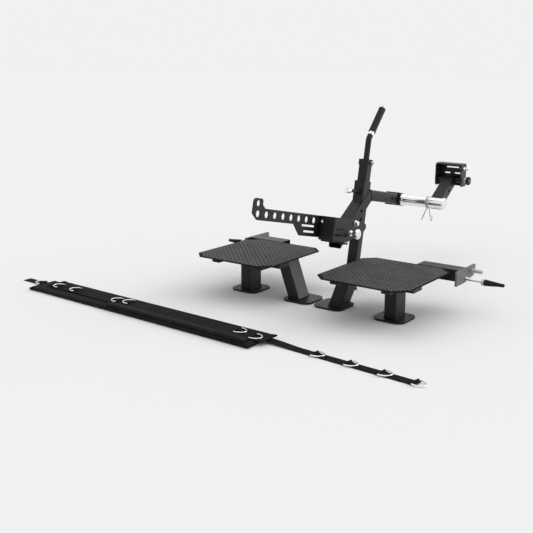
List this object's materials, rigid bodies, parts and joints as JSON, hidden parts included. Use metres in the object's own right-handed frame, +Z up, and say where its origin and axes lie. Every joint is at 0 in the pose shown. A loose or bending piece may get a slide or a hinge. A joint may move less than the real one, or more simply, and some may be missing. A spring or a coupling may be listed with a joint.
{
  "type": "belt squat machine",
  "caption": "Rack-mounted belt squat station: foot platforms, a pivoting loaded lever with a weight sleeve and handle, and a padded belt with rings on the floor.",
  "frame": {"origin": "on the floor under the centre of the lever's rubber foot, in the machine's mid-plane", "axes": "+Z up, +Y from the user back to the lever's pivot, +X to the user's side that has the weight sleeve"},
  "size_m": [2.156, 2.0019, 0.833],
  "materials": {
    "deck_plate_right": "black powder coat on diamond tread plate",
    "deck_frame_right": "black textured powder coat",
    "outer_leg_right": "black textured powder coat",
    "inner_leg_right": "black textured powder coat",
    "outer_foot_right": "black textured powder coat",
    "inner_foot_right": "black textured powder coat",
    "rack_flange_right": "grey satin coat",
    "pivot_bush_right": "zinc plated",
    "deck_plate_left": "black powder coat on diamond tread plate",
    "deck_frame_left": "black textured powder coat",
    "outer_leg_left": "black textured powder coat",
    "inner_leg_left": "black textured powder coat",
    "outer_foot_left": "black textured powder coat",
    "inner_foot_left": "black textured powder coat",
    "rack_flange_left": "grey satin coat",
    "pivot_bush_left": "zinc plated",
    "pivot_bracket": "black textured powder coat",
    "pivot_axle": "zinc plated",
    "pivot_knob": "matt black rubber",
    "belt_pad": "black nylon webbing",
    "top_strap": "black nylon webbing",
    "left_strap": "black nylon webbing",
    "right_strap": "black nylon webbing",
    "main_tube": "black textured powder coat",
    "diagonal_tube": "black textured powder coat",
    "rear_arm": "black textured powder coat",
    "receiver_post": "black textured powder coat",
    "rest_leg": "black textured powder coat",
    "rest_pad": "matt black rubber",
    "post_socket": "black textured powder coat",
    "handle_rod": "black textured powder coat",
    "handle_core": "polished chrome",
    "handle_grip": "matt black rubber",
    "belt_bracket": "black textured powder coat",
    "hook_plate": "black textured powder coat",
    "belt_bolt": "polished chrome",
    "sleeve_carriage": "black textured powder coat",
    "weight_sleeve": "polished chrome",
    "sleeve_cap": "polished chrome",
    "lock_pin_right": "polished chrome",
    "lock_grip_right": "matt black rubber",
    "lock_pin_left": "polished chrome",
    "lock_grip_left": "matt black rubber",
    "post_pin": "polished chrome",
    "handle_pin": "zinc plated",
    "belt_pin": "polished chrome",
    "safety_pin": "polished chrome",
    "spring_clip": "polished chrome",
    "pad_ring_1": "polished chrome",
    "pad_ring_2": "polished chrome",
    "pad_ring_3": "polished chrome",
    "pad_ring_4": "polished chrome",
    "pad_ring_5": "polished chrome",
    "pad_ring_6": "polished chrome",
    "left_ring": "polished chrome",
    "right_ring_1": "polished chrome",
    "right_ring_2": "polished chrome",
    "right_ring_3": "polished chrome",
    "end_ring": "polished chrome"
  },
  "bodies": {
    "rack_side": {"deck_plate_right": "deck_plate_right", "deck_frame_right": "deck_frame_right", "outer_leg_right": "outer_leg_right", "inner_leg_right": "inner_leg_right", "outer_foot_right": "outer_foot_right", "inner_foot_right": "inner_foot_right", "rack_flange_right": "rack_flange_right", "pivot_bush_right": "pivot_bush_right", "deck_plate_left": "deck_plate_left", "deck_frame_left": "deck_frame_left", "outer_leg_left": "outer_leg_left", "inner_leg_left": "inner_leg_left", "outer_foot_left": "outer_foot_left", "inner_foot_left": "inner_foot_left", "rack_flange_left": "rack_flange_left", "pivot_bush_left": "pivot_bush_left", "pivot_bracket": "pivot_bracket", "pivot_axle": "pivot_axle", "pivot_knob": "pivot_knob", "belt_pad": "belt_pad", "top_strap": "top_strap", "left_strap": "left_strap", "right_strap": "right_strap"},
    "lever": {"main_tube": "main_tube", "diagonal_tube": "diagonal_tube", "rear_arm": "rear_arm", "receiver_post": "receiver_post", "rest_leg": "rest_leg", "rest_pad": "rest_pad", "post_socket": "post_socket", "handle_rod": "handle_rod", "handle_core": "handle_core", "handle_grip": "handle_grip", "belt_bracket": "belt_bracket", "hook_plate": "hook_plate", "belt_bolt": "belt_bolt", "sleeve_carriage": "sleeve_carriage", "weight_sleeve": "weight_sleeve", "sleeve_cap": "sleeve_cap"},
    "right_lock_pin": {"lock_pin_right": "lock_pin_right", "lock_grip_right": "lock_grip_right"},
    "left_lock_pin": {"lock_pin_left": "lock_pin_left", "lock_grip_left": "lock_grip_left"},
    "post_plunger": {"post_pin": "post_pin"},
    "handle_plunger": {"handle_pin": "handle_pin"},
    "belt_arm_plunger": {"belt_pin": "belt_pin"},
    "safety_plunger": {"safety_pin": "safety_pin"},
    "sleeve_clip": {"spring_clip": "spring_clip"},
    "pad_ring_1_body": {"pad_ring_1": "pad_ring_1"},
    "pad_ring_2_body": {"pad_ring_2": "pad_ring_2"},
    "pad_ring_3_body": {"pad_ring_3": "pad_ring_3"},
    "pad_ring_4_body": {"pad_ring_4": "pad_ring_4"},
    "pad_ring_5_body": {"pad_ring_5": "pad_ring_5"},
    "pad_ring_6_body": {"pad_ring_6": "pad_ring_6"},
    "left_ring_body": {"left_ring": "left_ring"},
    "right_ring_1_body": {"right_ring_1": "right_ring_1"},
    "right_ring_2_body": {"right_ring_2": "right_ring_2"},
    "right_ring_3_body": {"right_ring_3": "right_ring_3"},
    "end_ring_body": {"end_ring": "end_ring"}
  },
  "joints": [
    {"name": "lever_pivot", "type": "hinge", "parent": "rack_side", "child": "lever", "pos_m": [0, 1.04201, 0.39698], "axis": [-1, 0, 0], "range_deg": [0, 25]},
    {"name": "right_lock_pin_slide", "type": "slide", "parent": "rack_side", "child": "right_lock_pin", "axis": [1, 0, 0], "range_m": [0, 0.09]},
    {"name": "left_lock_pin_slide", "type": "slide", "parent": "rack_side", "child": "left_lock_pin", "axis": [-1, 0, 0], "range_m": [0, 0.09]},
    {"name": "post_pin_pull", "type": "slide", "parent": "lever", "child": "post_plunger", "axis": [0, -0.9816, 0.1908], "range_m": [0, 0.01], "stiffness_N_per_m": 400},
    {"name": "handle_pin_pull", "type": "slide", "parent": "lever", "child": "handle_plunger", "axis": [1, 0, 0], "range_m": [0, 0.006], "stiffness_N_per_m": 300},
    {"name": "belt_pin_pull", "type": "slide", "parent": "lever", "child": "belt_arm_plunger", "axis": [1, 0, 0], "range_m": [0, 0.012], "stiffness_N_per_m": 400},
    {"name": "safety_pin_pull", "type": "slide", "parent": "rack_side", "child": "safety_plunger", "axis": [1, 0, 0], "range_m": [0, 0.012], "stiffness_N_per_m": 300},
    {"name": "clip_slide", "type": "slide", "parent": "lever", "child": "sleeve_clip", "axis": [1, 0, 0], "range_m": [-0.115, 0.055]},
    {"name": "pad_ring_1_hinge", "type": "hinge", "parent": "rack_side", "child": "pad_ring_1_body", "pos_m": [-1.05376, -0.82723, 0.0243], "axis": [0.0192, 0.9998, 0], "range_deg": [0, 150]},
    {"name": "pad_ring_2_hinge", "type": "hinge", "parent": "rack_side", "child": "pad_ring_2_body", "pos_m": [-0.94369, -0.82434, 0.0243], "axis": [0.0192, 0.9998, 0], "range_deg": [0, 150]},
    {"name": "pad_ring_3_hinge", "type": "hinge", "parent": "rack_side", "child": "pad_ring_3_body", "pos_m": [-0.66666, -0.82566, 0.0243], "axis": [0.0192, 0.9998, 0], "range_deg": [0, 150]},
    {"name": "pad_ring_4_hinge", "type": "hinge", "parent": "rack_side", "child": "pad_ring_4_body", "pos_m": [-0.60644, -0.81482, 0.0243], "axis": [0.0192, 0.9998, 0], "range_deg": [0, 150]},
    {"name": "pad_ring_5_hinge", "type": "hinge", "parent": "rack_side", "child": "pad_ring_5_body", "pos_m": [-0.00357, -0.82739, 0.0243], "axis": [-0.0192, -0.9998, 0], "range_deg": [0, 150]},
    {"name": "pad_ring_6_hinge", "type": "hinge", "parent": "rack_side", "child": "pad_ring_6_body", "pos_m": [0.08807, -0.84716, 0.0243], "axis": [-0.0192, -0.9998, 0], "range_deg": [0, 150]},
    {"name": "left_ring_hinge", "type": "hinge", "parent": "rack_side", "child": "left_ring_body", "pos_m": [-1.22163, -0.798, 0.007], "axis": [0.0192, 0.9998, 0], "range_deg": [0, 150]},
    {"name": "right_ring_1_hinge", "type": "hinge", "parent": "rack_side", "child": "right_ring_1_body", "pos_m": [0.35352, -0.82546, 0.007], "axis": [-0.061, -0.9981, 0], "range_deg": [0, 150]},
    {"name": "right_ring_2_hinge", "type": "hinge", "parent": "rack_side", "child": "right_ring_2_body", "pos_m": [0.49925, -0.83437, 0.007], "axis": [-0.061, -0.9981, 0], "range_deg": [0, 150]},
    {"name": "right_ring_3_hinge", "type": "hinge", "parent": "rack_side", "child": "right_ring_3_body", "pos_m": [0.63899, -0.84292, 0.007], "axis": [-0.061, -0.9981, 0], "range_deg": [0, 150]},
    {"name": "end_ring_hinge", "type": "hinge", "parent": "rack_side", "child": "end_ring_body", "pos_m": [0.76974, -0.85092, 0.007], "axis": [-0.061, -0.9981, 0], "range_deg": [0, 150]}
  ]
}
